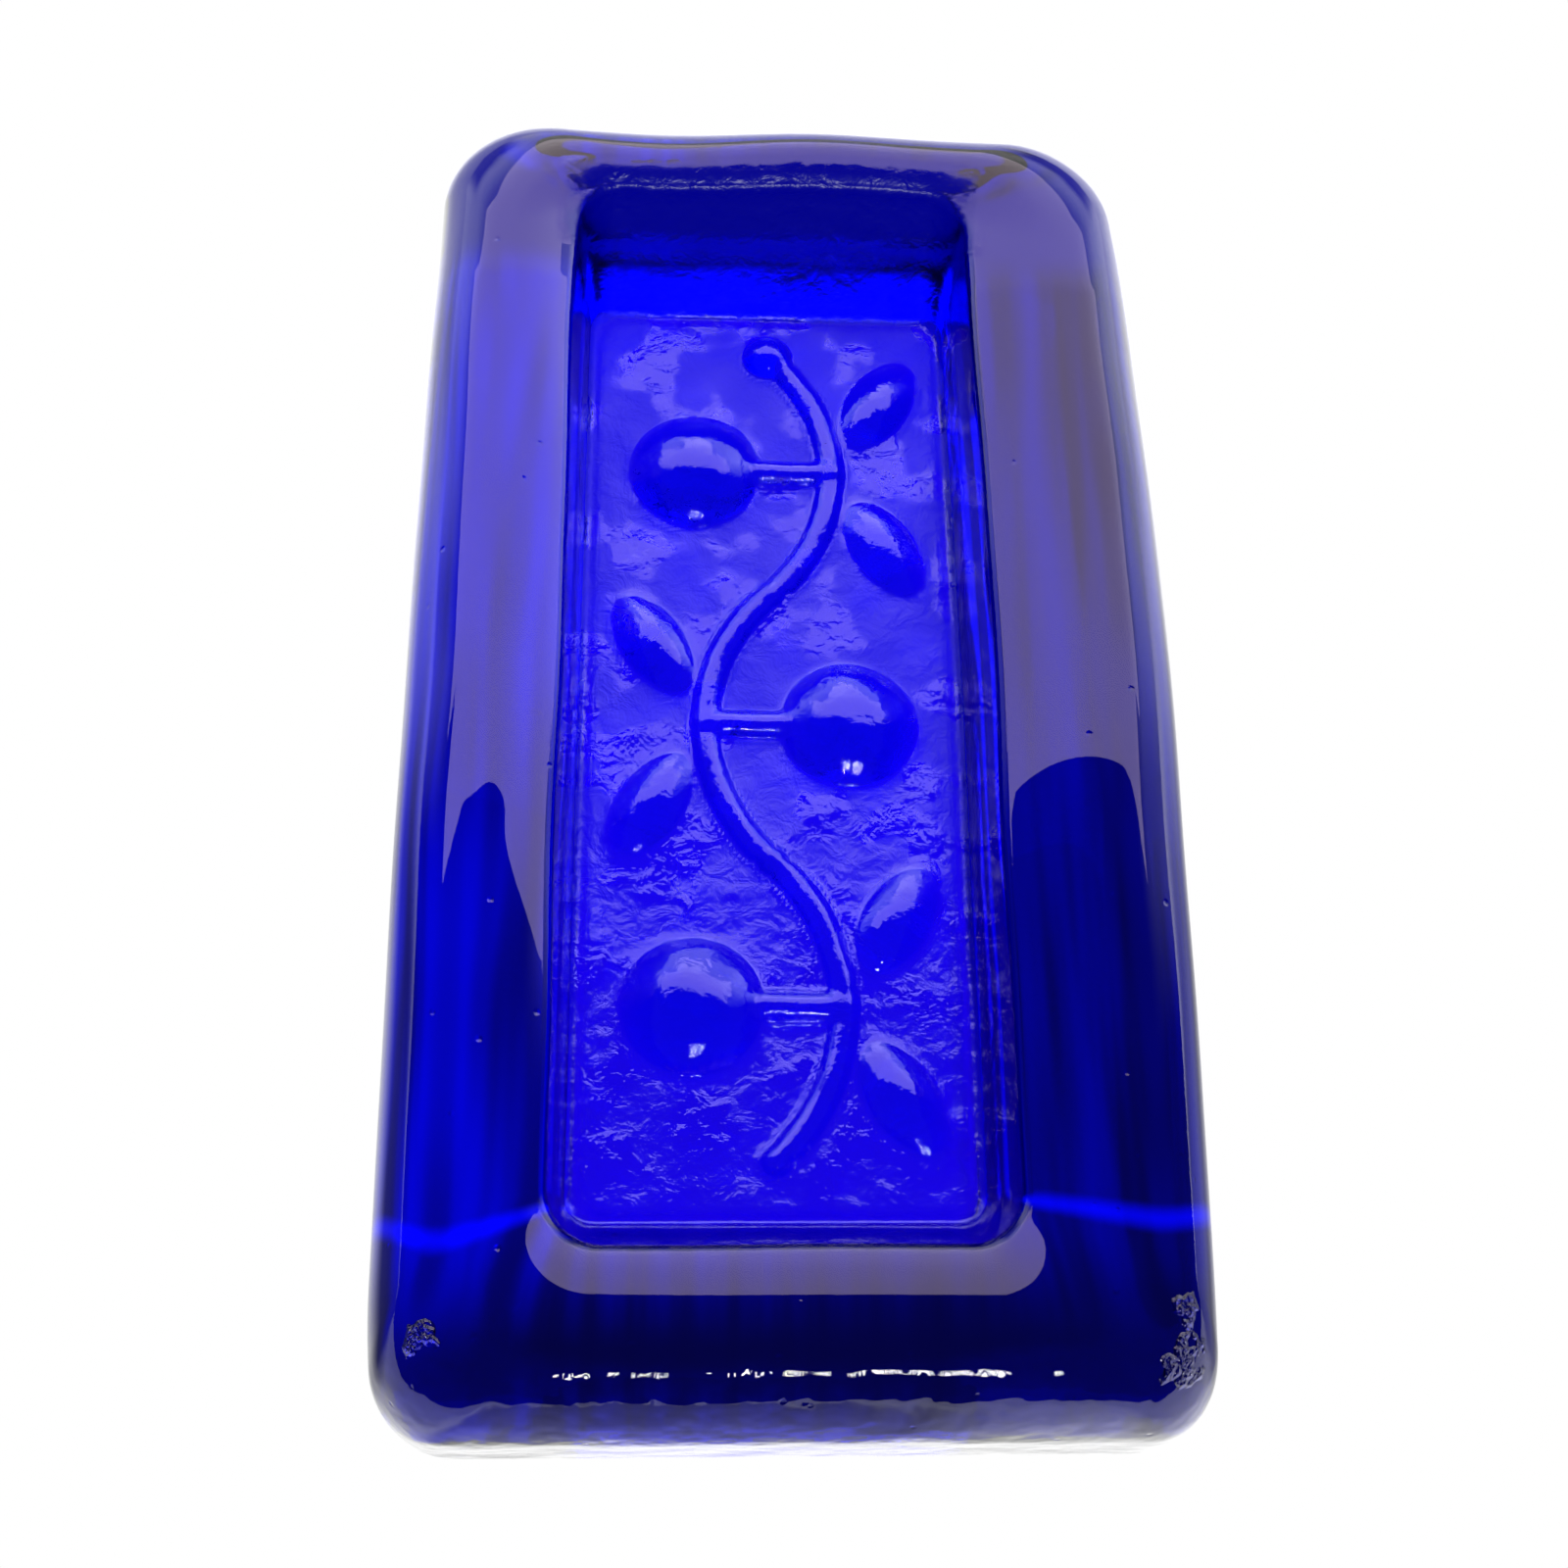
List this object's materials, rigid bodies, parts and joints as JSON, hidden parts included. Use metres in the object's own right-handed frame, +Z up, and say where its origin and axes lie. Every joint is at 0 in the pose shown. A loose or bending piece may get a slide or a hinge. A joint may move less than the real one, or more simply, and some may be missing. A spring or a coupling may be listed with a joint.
{
  "type": "glass dish",
  "caption": "Heavy rectangular dish of cast cobalt-blue glass with a broad rounded rim, a deep well with leaning walls and a vine in relief on its floor.",
  "frame": {"origin": "centre of the flat base, on the table", "axes": "+Z up out of the well, +Y along the long side, away from the camera in the picture"},
  "size_m": [0.104, 0.19, 0.0325],
  "materials": {
    "cobalt_glass": "fire-polished, clear through, with a pressed relief"
  },
  "bodies": {
    "root": {"glass_dish": "cobalt_glass"}
  },
  "joints": []
}
